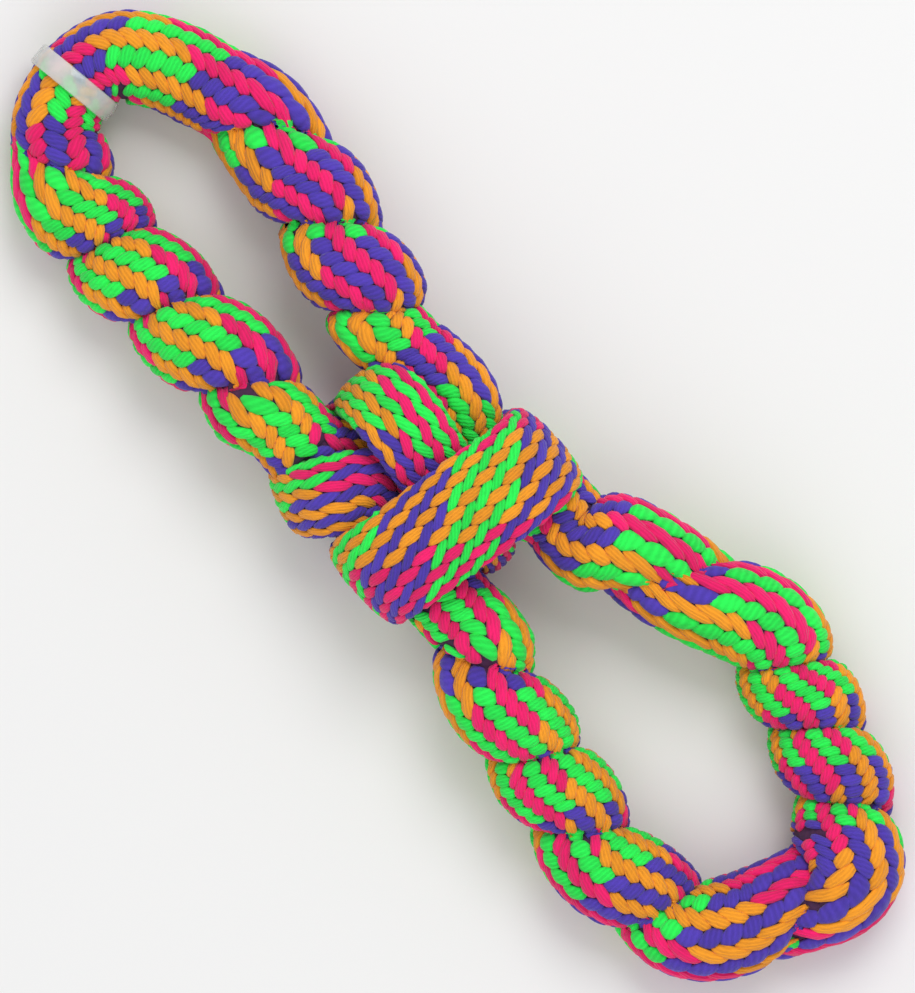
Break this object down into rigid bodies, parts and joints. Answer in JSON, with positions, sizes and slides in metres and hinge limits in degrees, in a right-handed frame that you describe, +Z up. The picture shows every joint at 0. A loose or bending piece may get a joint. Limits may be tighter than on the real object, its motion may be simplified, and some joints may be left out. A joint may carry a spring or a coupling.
{
  "type": "rope dog toy",
  "caption": "Braided rope dog toy with an elastic core: one closed ring of thick multi-colour rope, knotted at its middle, with a loop to grip at each end.",
  "frame": {"origin": "middle of the knot, on the surface that the toy lies on", "axes": "+X along the toy to the longer loop, +Y across it, +Z up, away from the surface"},
  "size_m": [0.3969, 0.1268, 0.0612],
  "materials": {
    "braided_yarn": "soft matte yarn in pink, green, orange and purple",
    "elastic_core": "dull",
    "clear_band": "clear, milky and glossy",
    "melted_yarn": "fused"
  },
  "bodies": {
    "knot": {"knot_front_wrap_sleeve": "braided_yarn", "knot_front_wrap_core": "elastic_core", "knot_side_wrap_sleeve": "braided_yarn", "knot_side_wrap_core": "elastic_core", "knot_straight_pass_sleeve": "braided_yarn", "knot_straight_pass_core": "elastic_core", "knot_diving_pass_sleeve": "braided_yarn", "knot_diving_pass_core": "elastic_core", "knot_exit_pass_sleeve": "braided_yarn", "knot_exit_pass_core": "elastic_core", "knot_back_pass_sleeve": "braided_yarn", "knot_back_pass_core": "elastic_core"},
    "short_loop_limbs": {"short_loop_left_neck_sleeve": "braided_yarn", "short_loop_left_neck_core": "elastic_core", "short_loop_left_limb_sleeve": "braided_yarn", "short_loop_left_limb_core": "elastic_core", "short_loop_right_neck_sleeve": "braided_yarn", "short_loop_right_neck_core": "elastic_core", "short_loop_right_limb_sleeve": "braided_yarn", "short_loop_right_limb_core": "elastic_core"},
    "short_loop_crown": {"short_loop_left_crown_sleeve": "braided_yarn", "short_loop_left_crown_core": "elastic_core", "short_loop_right_crown_sleeve": "braided_yarn", "short_loop_right_crown_core": "elastic_core", "clear_ferrule": "clear_band", "melted_end_plug": "melted_yarn"},
    "long_loop_limbs": {"long_loop_left_neck_sleeve": "braided_yarn", "long_loop_left_neck_core": "elastic_core", "long_loop_left_limb_sleeve": "braided_yarn", "long_loop_left_limb_core": "elastic_core", "long_loop_right_neck_sleeve": "braided_yarn", "long_loop_right_neck_core": "elastic_core", "long_loop_right_limb_sleeve": "braided_yarn", "long_loop_right_limb_core": "elastic_core"},
    "long_loop_crown": {"long_loop_left_crown_sleeve": "braided_yarn", "long_loop_left_crown_core": "elastic_core", "long_loop_right_crown_sleeve": "braided_yarn", "long_loop_right_crown_core": "elastic_core"}
  },
  "joints": [
    {"name": "short_loop_fold", "type": "hinge", "parent": "knot", "child": "short_loop_limbs", "pos_m": [-0.062, 0, 0.0305], "axis": [0, 1, 0], "range_deg": [-75, 75], "deforming": ["short_loop_left_neck_sleeve", "short_loop_left_neck_core", "short_loop_right_neck_sleeve", "short_loop_right_neck_core"]},
    {"name": "short_loop_stretch", "type": "slide", "parent": "short_loop_limbs", "child": "short_loop_crown", "axis": [-1, 0, 0], "range_m": [0, 0.05], "stiffness_N_per_m": 250, "deforming": ["short_loop_left_limb_sleeve", "short_loop_left_limb_core", "short_loop_right_limb_sleeve", "short_loop_right_limb_core"]},
    {"name": "long_loop_fold", "type": "hinge", "parent": "knot", "child": "long_loop_limbs", "pos_m": [0.062, 0, 0.0305], "axis": [0, -1, 0], "range_deg": [-75, 75], "deforming": ["long_loop_left_neck_sleeve", "long_loop_left_neck_core", "long_loop_right_neck_sleeve", "long_loop_right_neck_core"]},
    {"name": "long_loop_stretch", "type": "slide", "parent": "long_loop_limbs", "child": "long_loop_crown", "axis": [1, 0, 0], "range_m": [0, 0.06], "stiffness_N_per_m": 250, "deforming": ["long_loop_left_limb_sleeve", "long_loop_left_limb_core", "long_loop_right_limb_sleeve", "long_loop_right_limb_core"]}
  ]
}
